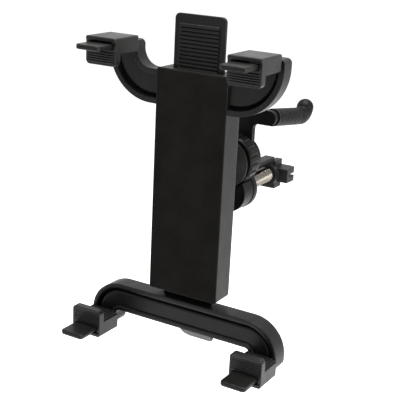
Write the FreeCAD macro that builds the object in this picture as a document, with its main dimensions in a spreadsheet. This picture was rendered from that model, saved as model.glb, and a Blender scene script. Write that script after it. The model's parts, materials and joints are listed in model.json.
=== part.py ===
# Air vent tablet mount: a padded case with a U arm above and a sliding arch arm below, each
# carrying two claws, hung by a ball joint on a bracket with two rubber hooks and a screw clip.
# Working axes: X to the right, Y from the front pad to the vent, Z up, with the pad's face at
# Y = 0 and the case centred on Z = 0. The finished pieces are moved so that the origin lies
# between the two hooks, where the vent blade sits.
import FreeCAD
import Part
import os
import re
from FreeCAD import Placement, Rotation, Vector

doc = FreeCAD.newDocument("vent_tablet_mount")
sheet = doc.addObject("Spreadsheet::Sheet", "Sizes")

# Driving dimensions in millimetres, degrees where the name says angle
SIZES = {
    # case and pad
    "body_w": 48.0, "body_h": 138.8, "body_d": 18.1, "body_corner": 1.6, "back_round": 1.8,
    "case_wall": 1.8, "back_wall": 2.2, "case_front": 0.8,
    "rail_x": 12.2, "rail_w": 2.4, "rail_end": 1.0,
    "cover_front": 0.8, "cover_t": 2.8, "foam_t": 0.8, "foam_inset": 0.25, "foam_corner": 1.4,
    # running and fixed clearances
    "slide_gap": 0.3, "seat_gap": 0.15, "turn_gap": 0.05,
    # ratchet tongue of the sliding arm
    "tongue_w": 34.0, "tongue_y": 6.0, "tongue_t": 3.5, "tongue_rise": 31.8, "tongue_corner": 3.0,
    "tongue_grip": 12.0, "rib_high": 0.8, "rib_wide": 1.1, "rib_pitch": 2.29, "rib_margin": 3.5,
    "rib_first": 5.0,
    # upper arms, moulded with the case
    "arm_c_x": 28.0, "arm_rise": 8.1, "arm_r_out": 30.3, "arm_in_rise": 9.3, "arm_r_in": 10.8,
    "arm_y": 0.8, "arm_d": 9.2, "arm_rim": 3.2, "arm_recess": 5.0, "arm_tip": 5.7, "arm_tip_round": 3.0,
    "tray_round": 2.2,
    # lower arm
    "low_c_x": 45.7, "low_gap": 4.3, "low_r_out": 21.3, "low_r_in": 3.5,
    "low_y": 0.0, "low_d": 12.0, "low_rim": 2.8, "low_recess": 4.0, "low_leg": 7.8, "low_leg_round": 5.0,
    "pull_w": 23.0, "pull_len": 24.0, "pull_t": 3.0, "pull_angle": 48.0, "pull_root": 1.2,
    "pull_corner": 5.0,
    # claws and the fingers that they slide on
    "claw_inset_up": 11.5, "claw_inset_low": 9.6, "claw_w": 21.1, "claw_len_up": 22.4, "claw_len_low": 19.8,
    "claw_over_up": 3.3, "claw_over_low": 0.8, "claw_front_up": -24.0, "claw_front_low": -20.2,
    "sleeve_h": 9.2, "lip_h_up": 16.3, "lip_h_low": 17.5, "lip_t": 4.4, "lip_corner": 2.6,
    "roof_t": 2.3, "roof_gap": 1.1, "visor": 0.8,
    "grip_pitch": 1.35, "grip_wide": 0.6, "grip_deep": 0.5, "grip_margin": 1.4,
    "finger_w": 16.6, "finger_t": 3.0, "finger_tip_up": -38.0, "finger_tip_low": -36.0, "finger_corner": 2.6,
    "finger_edge": 0.9, "claw_edge": 1.1, "visor_edge": 0.7,
    "tooth_pitch": 1.6, "tooth_deep": 0.4, "seat_t": 0.9, "seat_rib": 0.8, "seat_pitch": 2.0,
    "seat_margin": 1.0,
    # case screws and their posts
    "post_r": 1.7, "post_in": 3.8, "post_end": 6.2, "screw_r": 0.9, "head_r": 1.6, "head_t": 1.2,
    "screw_len": 11.0,
    # click spring behind the cover
    "click_w": 12.0, "click_len": 34.0, "click_t": 0.4, "click_flat": 7.0,
    # turret, ball and ring
    "ball_y": 57.5, "ball_z": 6.2, "ball_r": 8.0, "liner_t": 1.5, "ball_neck_r": 4.2,
    "disc_y": 41.0, "disc_cone": 4.2, "disc_rim": 1.0, "disc_back": 3.6, "disc_r": 16.3,
    "disc_front_r": 11.5,
    "turret_r": 17.0, "turret_top_r": 11.5, "turret_bore": 5.0, "turret_end": 6.0,
    "pivot_r": 2.0, "pivot_head_r": 3.8, "pivot_head_t": 2.6, "pivot_grip": 8.0,
    "spring_washer_t": 0.8, "friction_t": 0.6, "friction_r": 10.4,
    "ring_r": 16.5, "ring_front": 52.0, "ring_len": 10.6, "ring_lip": 3.0, "ring_bore": 12.9,
    "ring_chamfer": 1.2, "ring_grooves": 20, "ring_groove_r": 1.3,
    # vent bracket
    "plate_y": 64.0, "plate_t": 4.0, "cup_y": 55.6, "cup_wall_gap": 0.3, "waist_w": 18.0, "waist_r": 4.0,
    "web_r": 14.5, "beam_z": 34.7, "beam_h": 9.6, "beam_d": 4.0, "hook_x": 20.0,
    # hooks
    "rod_r": 2.5, "rod_root": 3.0, "sleeve_r": 5.7, "hook_run": 43.0, "hook_slope": 0.135,
    "hook_bend_r": 7.0,
    "hook_bend_angle": 80.0, "sleeve_lead": 0.9, "sleeve_rib_pitch": 2.2, "sleeve_rib_wide": 1.4,
    "sleeve_rib_high": 0.5,
    "sleeve_collar": 2.4,
    # screw clip
    "bolt_z": -14.8, "bolt_r": 5.3, "bolt_front": 65.5, "bolt_len": 44.0, "lug_r": 13.4, "bolt_edge": 0.6,
    "barrel_r": 13.0, "barrel_front": 51.5, "ring_clear": 0.6, "bolt_room": 2.6,
    "nut_r": 9.5, "nut_len": 3.4, "nut_grooves": 16, "nut_groove_r": 0.6, "nut_edge": 0.6,
    "key_w": 7.0, "key_t": 2.4, "key_front": 65.5, "key_room": 2.3, "hub_r": 8.0, "hub_len": 4.0,
    "hub_grip": 3.0,
    "jaw_w": 29.0, "jaw_h": 9.4, "jaw_len": 13.5, "cross_w": 11.0, "cross_h": 19.6, "cross_len": 9.0,
    "blade_slot": 2.2, "slot_floor": 3.0, "lead_in": 2.6, "jaw_corner": 3.5,
    # distance of the blade's seat in front of the hooks' bend
    "seat_back": 8.0,
    # lap of joined solids and overrun of cutting tools
    "lap": 0.5, "over": 1.0, "drive_half": 0.2,
}
for row, (alias, number) in enumerate(SIZES.items(), 1):
    sheet.set(f"A{row}", alias)
    sheet.set(f"B{row}", str(number))
    sheet.setAlias(f"B{row}", alias)
doc.recompute()


def size(alias):
    return float(sheet.get(alias))


def formula(text):
    return re.sub(r"[a-z]\w*", lambda m: f"Sizes.{m[0]}" if m[0] in SIZES else m[0], str(text))


def bind(thing, **formulas):
    for prop, text in formulas.items():
        thing.setExpression(prop.replace("__", "."), formula(text))
    return thing


def make(kind, name):
    return doc.addObject(kind, name)


def place(thing, x, y, z):
    return bind(thing, Placement__Base__x=x, Placement__Base__y=y, Placement__Base__z=z)


# Spans are pairs of formulas, low and high
def both(half):
    return f"-({half})", f"{half}"


def box(name, x, y, z):
    made = make("Part::Box", name)
    bind(made, Length=f"({x[1]})-({x[0]})", Width=f"({y[1]})-({y[0]})", Height=f"({z[1]})-({z[0]})")
    return place(made, x[0], y[0], z[0])


# A round bar along Y; sweep and start turn clockwise from +X when seen from the front
def bar_y(name, x, z, y, radius, start=0, sweep=360):
    made = make("Part::Cylinder", name)
    made.Placement = Placement(Vector(), Rotation(Vector(1, 0, 0), -90) * Rotation(Vector(0, 0, 1), start))
    made.Angle = sweep
    bind(made, Radius=radius, Height=f"({y[1]})-({y[0]})")
    return place(made, x, y[0], z)


def cone_y(name, x, z, y, r_front, r_back):
    made = make("Part::Cone", name)
    made.Placement = Placement(Vector(), Rotation(Vector(1, 0, 0), -90))
    bind(made, Radius1=r_front, Radius2=r_back, Height=f"({y[1]})-({y[0]})")
    return place(made, x, y[0], z)


def ball(name, x, y, z, radius):
    made = make("Part::Sphere", name)
    bind(made, Radius=radius)
    return place(made, x, y, z)


def fuse(name, *things):
    made = make("Part::MultiFuse", name)
    made.Shapes = list(things)
    made.Refine = True
    return made


def cut(name, base, *tools):
    made = make("Part::Cut", name)
    made.Base = base
    made.Tool = tools[0] if len(tools) == 1 else fuse(name + "_tools", *tools)
    made.Refine = True
    return made


# Rounds the edges of a shape that a test picks out
def rounded(name, base, radius, picks):
    doc.recompute()
    made = make("Part::Fillet", name)
    made.Base = base
    made.Edges = [(i, radius, radius) for i, edge in enumerate(base.Shape.Edges, 1) if picks(edge)]
    return made


def runs_along(edge, axis):
    if edge.Curve.TypeId != "Part::GeomLine":
        return False
    return abs(edge.Curve.Direction.dot(axis)) > 0.999


def lies_at(edge, axis, place_on_axis):
    return all(abs(v.Point.dot(axis) - place_on_axis) < 1e-4 for v in edge.Vertexes)


X, Y, Z = Vector(1, 0, 0), Vector(0, 1, 0), Vector(0, 0, 1)


# A closed outline on an origin plane; each corner is a pair of formulas
def outline(body, plane, corners):
    sketch = body.newObject("Sketcher::SketchObject", body.Name + "_outline")
    base = [f for f in body.Origin.OriginFeatures if f.Role == plane]
    sketch.AttachmentSupport = [(base[0], "")]
    sketch.MapMode = "FlatFace"
    count = len(corners)
    for i in range(count):
        sketch.addGeometry(Part.LineSegment(Vector(i, i * i, 0), Vector(i + 1, (i + 1) ** 2, 0)), False)
    for i in range(count):
        sketch.addConstraint(sketcher_link("Coincident", i, 2, (i + 1) % count, 1))
    for i, (across, up) in enumerate(corners):
        for kind, text in (("DistanceX", across), ("DistanceY", up)):
            index = sketch.addConstraint(sketcher_link(kind, -1, 1, i, 1, 1.0))
            sketch.setExpression(f"Constraints[{index}]", formula(text))
    return sketch


def sketcher_link(kind, *values):
    import Sketcher

    return Sketcher.Constraint(kind, *values)


pieces = {}


# Names a finished piece and moves it from the working axes to the part's own frame
def piece(label, thing):
    if thing.TypeId == "PartDesign::Body":
        turned = make("Part::Compound", label + "_piece")
        turned.Links = [thing]
        thing = turned
    thing.Label = label
    place(thing, 0, f"-({SEAT_Y})", f"-({SEAT_Z})")
    pieces[label] = thing


HALF_W = "body_w/2"
HALF_H = "body_h/2"
COVER_BACK = "cover_front + cover_t"
INNER_W = "body_w/2 - case_wall"
INNER_H = "body_h/2 - case_wall"
INNER_BACK = "body_d - back_wall"
ARM_WEB = "arm_y + arm_recess"
ARM_Z = "(body_h/2 + arm_rise)"
ARM_IN_Z = "(body_h/2 + arm_in_rise)"
ARM_TOP = f"{ARM_IN_Z} - arm_r_in"
ARM_BOTTOM = f"{ARM_Z} - arm_r_out"
LOW_WEB = "low_y + low_recess"
TONGUE_BACK = "tongue_y + tongue_t"
TONGUE_HALF = "tongue_w/2"
LOW_Z = "(-body_h/2 - low_gap - low_r_out)"
BAR_TOP = f"{LOW_Z} + low_r_out"
BAR_BOTTOM = f"{LOW_Z} + low_r_in"
CLAW_X_UP = "(arm_c_x + arm_r_out - claw_inset_up)"
CLAW_X_LOW = "(low_c_x + low_r_out - claw_inset_low)"
CLAW_TOP = f"({ARM_Z} + arm_tip + claw_over_up)"
CLAW_BOTTOM = f"({LOW_Z} - low_leg - claw_over_low)"
BEAM_Y = "plate_y"
BEAM_BACK = "plate_y + beam_d"
SEAT_RUN = "(hook_run - seat_back)"
SEAT_Y = f"plate_y + beam_d + {SEAT_RUN}"
SEAT_Z = f"beam_z - hook_slope*{SEAT_RUN} + sleeve_r*(1 + hook_slope*hook_slope/2)"
PLATE_BACK = "plate_y + plate_t"
RING_BACK = "ring_front + ring_len"
SOCKET_R = "ball_r + turn_gap + liner_t + turn_gap"
POSTS = [(side, level) for side in (-1, 1) for level in (-1, 1)]
POST_X = "body_w/2 - post_in"
POST_Z = "body_h/2 - post_end"


def post_place(side, level):
    return f"{side}*({POST_X})", f"{level}*({POST_Z})"


# Front cover: a plate let in between the case walls, with four screw posts behind
def front_cover():
    plate = box("cover_plate", both(f"{INNER_W} - seat_gap"), ("cover_front", COVER_BACK),
                both(f"{INNER_H} - seat_gap"))
    posts = []
    pilots = []
    for i, (side, level) in enumerate(POSTS):
        x, z = post_place(side, level)
        posts.append(bar_y(f"cover_post{i}", x, z, ("cover_front + lap", INNER_BACK), "post_r"))
        pilots.append(bar_y(f"cover_pilot{i}", x, z,
                            (f"{COVER_BACK} + over", f"{INNER_BACK} + over"), "screw_r"))
    piece("front_cover", cut("cover", fuse("cover_solid", plate, *posts), *pilots))


def foam_pad():
    pad = box("foam_box", both(f"{HALF_W} - foam_inset"), ("cover_front - foam_t", "cover_front"),
              both(f"{HALF_H} - foam_inset"))
    piece("foam_pad", rounded("foam", pad, size("foam_corner"), lambda e: runs_along(e, Y)))


# Rear case: an open tray with both upper arms, slots for the tongue, rails and a turret
def rear_case():
    shell = box("case_box", both(HALF_W), ("case_front", "body_d"), both(HALF_H))
    shell = rounded("case_round", shell, size("body_corner"), lambda e: runs_along(e, Y))
    back = size("body_d")
    shell = rounded("case_back_round", shell, min(size("back_round"), size("back_wall") * 0.9),
                    lambda e: lies_at(e, Y, back))
    hollow = box("case_hollow", both(INNER_W), ("-50", INNER_BACK), both(INNER_H))
    slot = box("case_tongue_slot", both(f"{TONGUE_HALF} + slide_gap"),
               ("tongue_y - slide_gap", f"{TONGUE_BACK} + slide_gap"), both(f"{HALF_H} + over"))
    turret = cone_y("case_turret", "0", "ball_z", (f"{INNER_BACK} + lap", "disc_y - friction_t"),
                    "turret_r", "turret_top_r")
    bore = bar_y("case_turret_bore", "0", "ball_z", ("0", "disc_y - friction_t - turret_end"), "turret_bore")
    pivot = bar_y("case_pivot_hole", "0", "ball_z", ("0", "disc_y"), "pivot_r + turn_gap")
    rails = [box(f"case_rail{i}", (f"{s}*rail_x - rail_w/2", f"{s}*rail_x + rail_w/2"),
                 (f"{TONGUE_BACK} + slide_gap", f"{INNER_BACK} + lap"), both(f"{INNER_H} - rail_end"))
             for i, s in enumerate((-1, 1))]
    holes = []
    for i, (side, level) in enumerate(POSTS):
        x, z = post_place(side, level)
        holes.append(bar_y(f"case_hole{i}", x, z,
                           (f"{INNER_BACK} - over", "body_d + over"), "screw_r + seat_gap"))
        holes.append(bar_y(f"case_sink{i}", x, z, ("body_d - head_t - 0.1", "body_d + over"),
                           "head_r + seat_gap"))
    arms = [upper_arm(side, start) for side, start in ((1, 0), (-1, 90))]
    solid = fuse("case_solid", cut("case_shell", fuse("case_blank", shell, turret), hollow), *arms, *rails)
    piece("rear_case", cut("case", solid, slot, bore, pivot, *holes))


def case_screws():
    screws = []
    for i, (side, level) in enumerate(POSTS):
        x, z = post_place(side, level)
        shank = bar_y(f"screw_shank{i}", x, z, ("body_d - screw_len", "body_d - lap"), "screw_r")
        head = bar_y(f"screw_head{i}", x, z, ("body_d - head_t", "body_d"), "head_r")
        crosses = [box(f"screw_cross{i}_{k}", (f"{x} - {w}", f"{x} + {w}"),
                       ("body_d - head_t/2", "body_d + over"),
                       (f"{z} - {h}", f"{z} + {h}")) for k,
                       (w, h) in enumerate((("head_r*0.62", "drive_half"), ("drive_half", "head_r*0.62")))]
        screws.append(cut(f"screw{i}", fuse(f"screw_solid{i}", shank, head), *crosses))
    group = make("Part::Compound", "case_screw_group")
    group.Links = screws
    piece("case_screws", group)


# Bent strip that clicks over the tongue's ribs, shown lifted clear of them
def click_spring():
    body = make("PartDesign::Body", "click_body")
    front, peak = f"{COVER_BACK} + 0.02", "tongue_y - slide_gap"
    half, flat = "click_len/2", "click_len/2 - click_flat"
    corners = [(front, f"-({half})"), (f"{front} + click_t", f"-({half})"),
               (f"{front} + click_t", f"-({flat})"),
               (peak, "0"), (f"{front} + click_t", flat), (f"{front} + click_t", half), (front, half),
               (front, f"{flat} - 0.4"), (f"{peak} - click_t*1.1", "0"), (front, f"-({flat} - 0.4)")]
    pad = body.newObject("PartDesign::Pad", "click_pad")
    pad.Profile = outline(body, "YZ_Plane", corners)
    pad.SideType = "Symmetric"
    bind(pad, Length="click_w")
    piece("click_spring", body)


# A quarter of an arm: a sector of radius r_out with a round hole of radius r_in
def quarter(name, c_x, out_z, in_z, y, r_in, r_out, start):
    return cut(name, bar_y(name + "_out", c_x, out_z, y, r_out, start, 90),
               bar_y(name + "_in", c_x, in_z, (f"{y[0]} - over", f"{y[1]} + over"), r_in))


def finger(name, x, z, tip, root):
    bar = box(name + "_bar", (f"{x} - finger_w/2", f"{x} + finger_w/2"), (tip, root),
              (f"{z} - finger_t/2", f"{z} + finger_t/2"))
    doc.recompute()
    bounds = bar.Shape.BoundBox
    bar = rounded(name + "_corners", bar, min(size("finger_corner"), size("finger_w") * 0.45),
                  lambda e: runs_along(e, Z) and lies_at(e, Y, bounds.YMin))

    def on_rim(edge):
        level = lies_at(edge, Z, bounds.ZMin) or lies_at(edge, Z, bounds.ZMax)
        return level and not lies_at(edge, Y, bounds.YMax)

    return rounded(name, bar, min(size("finger_edge"), size("finger_t") * 0.4), on_rim)


def finger_teeth(name, x, face, first, count):
    return [box(f"{name}{i}", (f"{x} - finger_w/2 - over", f"{x} + finger_w/2 + over"),
                (f"{first} + {i}*tooth_pitch", f"{first} + {i}*tooth_pitch + tooth_pitch/2"),
                (f"{face} - tooth_deep", f"{face} + tooth_deep")) for i in range(count)]


UP_FINGER_Z = f"{CLAW_TOP} - roof_t - roof_gap - finger_t/2"
LOW_FINGER_Z = f"{CLAW_BOTTOM} + roof_t + roof_gap + finger_t/2"
TEETH = 8


def ordered(side, near, far):
    return (f"{side}*({near})", f"{side}*({far})") if side > 0 else (f"{side}*({far})", f"{side}*({near})")


# A channel between raised rims: its tray has a rounded floor
def channelled(name, parts, trays, floor, wall=None):
    def on_floor(edge):
        at_wall = wall is not None and lies_at(edge, X, wall)
        return lies_at(edge, Y, floor) and not at_wall

    tool = fuse(name + "_trays", *trays)
    tool = rounded(name + "_trays_round", tool, size("tray_round"), on_floor)
    return cut(name + "_channel", fuse(name + "_solid", *parts), tool)


# Upper arm: half of a U channel that starts in the case's side wall
def upper_arm(side, start):
    name = f"arm{start}"
    depth, tray = ("arm_y", "arm_y + arm_d"), ("arm_y - 4", ARM_WEB)
    c = f"{side}*arm_c_x"
    near, far = "arm_c_x + arm_r_in", "arm_c_x + arm_r_out"
    bar = box(name + "_bar", ordered(side, f"{INNER_W} + 0.2", "arm_c_x"), depth, (ARM_BOTTOM, ARM_TOP))
    ring = quarter(name + "_ring", c, ARM_Z, ARM_IN_Z, depth, "arm_r_in", "arm_r_out", start)
    tip = box(name + "_tip", ordered(side, near, far), depth, (ARM_Z, f"{ARM_Z} + arm_tip"))
    doc.recompute()
    tip_z = tip.Shape.BoundBox.ZMax
    tip = rounded(name + "_tip_round", tip, size("arm_tip_round"),
                  lambda e: runs_along(e, Y) and lies_at(e, Z, tip_z))
    trays = [box(name + "_bar_tray", ordered(side, f"{HALF_W} - 0.01", "arm_c_x"), tray,
                 (f"{ARM_BOTTOM} + arm_rim", f"{ARM_TOP} - arm_rim")),
             quarter(name + "_tray", c, ARM_Z, ARM_IN_Z, tray, "arm_r_in + arm_rim", "arm_r_out - arm_rim",
                     start),
             box(name + "_tip_tray", ordered(side, f"{near} + arm_rim", f"{far} - arm_rim"), tray,
                 (ARM_Z, f"{ARM_Z} + arm_tip - arm_rim"))]
    channel = channelled(name, [bar, ring, tip], trays, size("arm_y") + size("arm_recess"),
                         side * (size("body_w")/2 - 0.01))
    x = f"{side}*{CLAW_X_UP}"
    slide = finger(name + "_finger", x, UP_FINGER_Z, "finger_tip_up", f"{ARM_WEB} + lap")
    teeth = finger_teeth(name + "_teeth", x, f"{UP_FINGER_Z} - finger_t/2", "arm_y - 16", TEETH)
    return cut(name + "_done", fuse(name + "_with_finger", channel, slide), *teeth)


# Lower arm: an arch channel with two legs, a pocket for the tongue and a finger pull behind
def lower_arm():
    depth, tray = ("low_y", "low_y + low_d"), ("low_y - 4", LOW_WEB)
    near, far = "low_c_x + low_r_in", "low_c_x + low_r_out"
    parts = [box("low_bar", both("low_c_x"), depth, (BAR_BOTTOM, BAR_TOP))]
    trays = [box("low_bar_tray", both("low_c_x"), tray, (f"{BAR_BOTTOM} + low_rim", f"{BAR_TOP} - low_rim"))]
    fingers = []
    teeth = []
    for side, start in ((1, 270), (-1, 180)):
        c = f"{side}*low_c_x"
        parts.append(quarter(f"low_ring{start}", c, LOW_Z, LOW_Z, depth, "low_r_in", "low_r_out", start))
        trays.append(quarter(f"low_tray{start}", c, LOW_Z, LOW_Z, tray, "low_r_in + low_rim",
                             "low_r_out - low_rim", start))
        leg = box(f"low_leg{start}", ordered(side, near, far), depth, (f"{LOW_Z} - low_leg", LOW_Z))
        doc.recompute()
        foot_z = leg.Shape.BoundBox.ZMin
        parts.append(rounded(f"low_leg_round{start}", leg,
                             min(size("low_leg_round"), size("low_leg") * 0.95),
                             lambda e: runs_along(e, Y) and lies_at(e, Z, foot_z)))
        trays.append(box(f"low_leg_tray{start}", ordered(side, f"{near} + low_rim", f"{far} - low_rim"),
                         tray,
                         (f"{LOW_Z} - low_leg + low_rim", LOW_Z)))
        x = f"{side}*{CLAW_X_LOW}"
        fingers.append(finger(f"low_finger{start}", x, LOW_FINGER_Z, "finger_tip_low", f"{LOW_WEB} + lap"))
        teeth += finger_teeth(f"low_teeth{start}_", x, f"{LOW_FINGER_Z} + finger_t/2", "low_y - 14", TEETH)
    pull = make("Part::Box", "low_pull")
    bind(pull, Length="pull_w", Width="pull_len", Height="pull_t")
    pull.Placement = Placement(Vector(), Rotation(X, -size("pull_angle")))
    place(pull, "-pull_w/2", "low_y + low_d - 3", f"{BAR_BOTTOM} + pull_root")
    doc.recompute()
    tip_z = pull.Shape.BoundBox.ZMin + size("pull_t")
    across = Rotation(X, -size("pull_angle")).multVec(Z)
    pull = rounded("low_pull_corners", pull, size("pull_corner"),
                   lambda e: runs_along(e, across) and e.BoundBox.ZMin < tip_z)
    pocket = box("low_pocket", both(f"{TONGUE_HALF} + seat_gap"),
                 ("tongue_y - seat_gap", f"{TONGUE_BACK} + seat_gap"),
                 (f"{BAR_TOP} - tongue_grip - seat_gap", f"{BAR_TOP} + over"))
    screws = [bar_y(f"low_screw_hole{i}", f"{s}*tongue_w/4", f"{BAR_TOP} - tongue_grip/2",
                    (f"{TONGUE_BACK} - over", "low_y + low_d + over"), "screw_r + seat_gap") for i,
                    s in enumerate((-1, 1))]
    sinks = [bar_y(f"low_screw_sink{i}", f"{s}*tongue_w/4", f"{BAR_TOP} - tongue_grip/2",
                   ("low_y + low_d - head_t", "low_y + low_d + over"), "head_r + seat_gap") for i,
                   s in enumerate((-1, 1))]
    channel = channelled("low", parts, trays, size("low_y") + size("low_recess"))
    solid = fuse("low_with_fingers", channel, pull, *fingers)
    piece("lower_arm", cut("low", solid, pocket, *screws, *sinks, *teeth))


# Tongue: a flat ribbed strip that runs up through the case
def ratchet_tongue():
    top, foot = "body_h/2 + tongue_rise", f"{BAR_TOP} - tongue_grip"
    strip = box("tongue_strip", both(TONGUE_HALF), ("tongue_y", TONGUE_BACK), (foot, top))
    doc.recompute()
    top_z = strip.Shape.BoundBox.ZMax
    strip = rounded("tongue_round", strip, size("tongue_corner"),
                    lambda e: runs_along(e, Y) and lies_at(e, Z, top_z))
    rib_half = f"{TONGUE_HALF} - rib_margin"
    tray = box("tongue_tray", both(rib_half), ("tongue_y - over", "tongue_y + rib_high"),
               (f"{BAR_TOP} + 2", f"{top} - rib_first"))
    doc.recompute()
    count = int((tray.Shape.BoundBox.ZLength - size("rib_wide")) / size("rib_pitch"))
    ribs = [box(f"tongue_rib{i}", both(rib_half), ("tongue_y", "tongue_y + rib_high + 0.2"),
                (f"{top} - rib_first - {i + 1}*rib_pitch",
                 f"{top} - rib_first - {i + 1}*rib_pitch + rib_wide"))
            for i in range(count)]
    holes = [bar_y(f"tongue_hole{i}", f"{s}*tongue_w/4", f"{BAR_TOP} - tongue_grip/2",
                   ("tongue_y + 0.6", f"{TONGUE_BACK} + over"), "screw_r") for i, s in enumerate((-1, 1))]
    plain = cut("tongue_plain", strip, tray, *holes)
    piece("ratchet_tongue", fuse("tongue", plain, *ribs))


def tongue_screws():
    screws = []
    for i, s in enumerate((-1, 1)):
        x, z = f"{s}*tongue_w/4", f"{BAR_TOP} - tongue_grip/2"
        shank = bar_y(f"tscrew_shank{i}", x, z, ("tongue_y + 0.8", "low_y + low_d - lap"), "screw_r")
        head = bar_y(f"tscrew_head{i}", x, z, ("low_y + low_d - head_t", "low_y + low_d - 0.1"), "head_r")
        screws.append(fuse(f"tscrew{i}", shank, head))
    group = make("Part::Compound", "tongue_screw_group")
    group.Links = screws
    piece("tongue_screws", group)


def inner_face(thing, inward):
    bounds = thing.Shape.BoundBox
    return bounds.ZMax if inward > 0 else bounds.ZMin


# A claw: a sleeve that slides on the arm's finger, with a ribbed lip in front of the tablet.
# The measure w runs from the claw's outer face towards the tablet.
def claw(label, x, front, face, inward, length, lip_high):
    def level(w0, w1):
        ends = [f"{face} + {inward}*({w0})", f"{face} + {inward}*({w1})"]
        return ends if inward > 0 else ends[::-1]

    wide = (f"{x} - claw_w/2", f"{x} + claw_w/2")
    back = f"{front} + {length}"
    sleeve = box(label + "_sleeve", wide, (front, back), level("0", "sleeve_h"))
    visor = box(label + "_visor", wide, (f"{front} - visor", f"{front} + over"), level("0", "roof_t"))
    lip = box(label + "_lip", wide, (front, f"{front} + lip_t"), level("0", lip_high))
    doc.recompute()
    bounds = lip.Shape.BoundBox
    free, outer = (bounds.ZMax, bounds.ZMin) if inward > 0 else (bounds.ZMin, bounds.ZMax)
    lip = rounded(label + "_lip_round", lip, size("lip_corner"),
                  lambda e: runs_along(e, Y) and lies_at(e, Z, free))

    def on_outer_side(edge):
        return runs_along(edge, Y) and lies_at(edge, Z, outer)

    lip = rounded(label + "_lip_edges", lip, size("claw_edge"), on_outer_side)
    sleeve = rounded(label + "_sleeve_edges", sleeve, size("claw_edge"), on_outer_side)
    visor = rounded(label + "_visor_edges", visor, size("claw_edge"), on_outer_side)
    doc.recompute()
    brow = visor.Shape.BoundBox.YMin
    under = inner_face(visor, inward)
    visor = rounded(label + "_visor_brow", visor, size("visor_edge"),
                    lambda e: lies_at(e, Y, brow) and not runs_along(e, Z) and not lies_at(e, Z, under))
    channel = box(label + "_channel", (f"{x} - finger_w/2 - slide_gap", f"{x} + finger_w/2 + slide_gap"),
                  (f"{front} - 2", f"{back} + over"),
                  level("roof_t", "roof_t + roof_gap + finger_t + slide_gap"))
    first = "roof_t + roof_gap + finger_t + slide_gap + grip_margin"
    used = size("roof_t") + size("roof_gap") + size("finger_t") + size("slide_gap") + 2 * size("grip_margin")
    count = int((size(lip_high) - used) / size("grip_pitch"))
    grooves = [box(f"{label}_groove{i}", (f"{x} - claw_w/2 + grip_margin", f"{x} + claw_w/2 - grip_margin"),
                   (f"{front} - over", f"{front} + grip_deep"),
                   level(f"{first} + {i}*grip_pitch",
                         f"{first} + {i}*grip_pitch + grip_wide")) for i in range(count)]
    solid = fuse(label + "_solid", sleeve, visor, lip)
    piece(label, cut(label + "_cut", solid, channel, *grooves))


# The rubber seat that the tablet's edge rests on, with ridges that run front to back
def claw_seat(label, x, front, face, inward, length):
    def level(w0, w1):
        ends = [f"{face} + {inward}*({w0})", f"{face} + {inward}*({w1})"]
        return ends if inward > 0 else ends[::-1]

    y = (f"{front} + lip_t", f"{front} + {length}")
    half = "claw_w/2 - seat_margin"
    sheet_part = box(label + "_sheet", (f"{x} - ({half})", f"{x} + ({half})"), y,
                     level("sleeve_h", "sleeve_h + seat_t"))
    count = int((size("claw_w") - 2 * size("seat_margin")) / size("seat_pitch"))
    ridges = [box(f"{label}_ridge{i}",
                  (f"{x} - ({half}) + {i}*seat_pitch + 0.3",
                   f"{x} - ({half}) + {i}*seat_pitch + 0.3 + seat_pitch/2"),
                  y, level("sleeve_h + seat_t - 0.1", "sleeve_h + seat_t + seat_rib")) for i in range(count)]
    piece(label, fuse(label + "_all", sheet_part, *ridges))


# Ball stud: the ball, its neck and the coned disc that the case turns on
def ball_stud():
    rim, back = "disc_y + disc_cone", "disc_y + disc_cone + disc_rim"
    front = cone_y("stud_front", "0", "ball_z", ("disc_y", rim), "disc_front_r", "disc_r")
    edge = bar_y("stud_rim", "0", "ball_z", (rim, back), "disc_r")
    rear = cone_y("stud_rear", "0", "ball_z", (back, f"{back} + disc_back"), "disc_r", "ball_neck_r + over")
    neck = bar_y("stud_neck", "0", "ball_z", ("disc_y + over", "ball_y"), "ball_neck_r")
    pilot = bar_y("stud_pilot", "0", "ball_z", ("disc_y - over", "disc_y + pivot_grip + lap"),
                  "pivot_r + turn_gap")
    solid = fuse("stud_solid", front, edge, rear, neck, ball("stud_ball", "0", "ball_y", "ball_z", "ball_r"))
    piece("ball_stud", cut("stud", solid, pilot))


def ring_y(name, z, y, r_in, r_out):
    return cut(name, bar_y(name + "_out", "0", z, y, r_out),
               bar_y(name + "_in", "0", z, (f"{y[0]} - over", f"{y[1]} + over"), r_in))


PIVOT_SEAT = "disc_y - friction_t - turret_end"


def pivot_screw():
    head = bar_y("pivot_head", "0", "ball_z",
                 (f"{PIVOT_SEAT} - spring_washer_t - pivot_head_t", f"{PIVOT_SEAT} - spring_washer_t"),
                 "pivot_head_r")
    shank = bar_y("pivot_shank", "0", "ball_z",
                  (f"{PIVOT_SEAT} - spring_washer_t - lap", "disc_y + pivot_grip"), "pivot_r")
    piece("pivot_screw", fuse("pivot", head, shank))


def spring_washer():
    piece("spring_washer",
          ring_y("washer", "ball_z", (f"{PIVOT_SEAT} - spring_washer_t", PIVOT_SEAT), "pivot_r + seat_gap",
                 "pivot_head_r + 0.6"))


def friction_washer():
    piece("friction_washer",
          ring_y("friction", "ball_z", ("disc_y - friction_t", "disc_y"), "pivot_r + seat_gap",
                 "friction_r"))


# Liner: a split-off shell between the ball and its socket, open towards the case
def ball_liner():
    shell = cut("liner_shell", ball("liner_out", "0", "ball_y", "ball_z", "ball_r + turn_gap + liner_t"),
                ball("liner_in", "0", "ball_y", "ball_z", "ball_r + turn_gap"))
    mouth = box("liner_mouth", both("2*ball_r"), ("disc_y", "ball_y - ball_r*0.53"),
                ("ball_z - 2*ball_r", "ball_z + 2*ball_r"))
    piece("ball_liner", cut("liner", shell, mouth))


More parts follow.
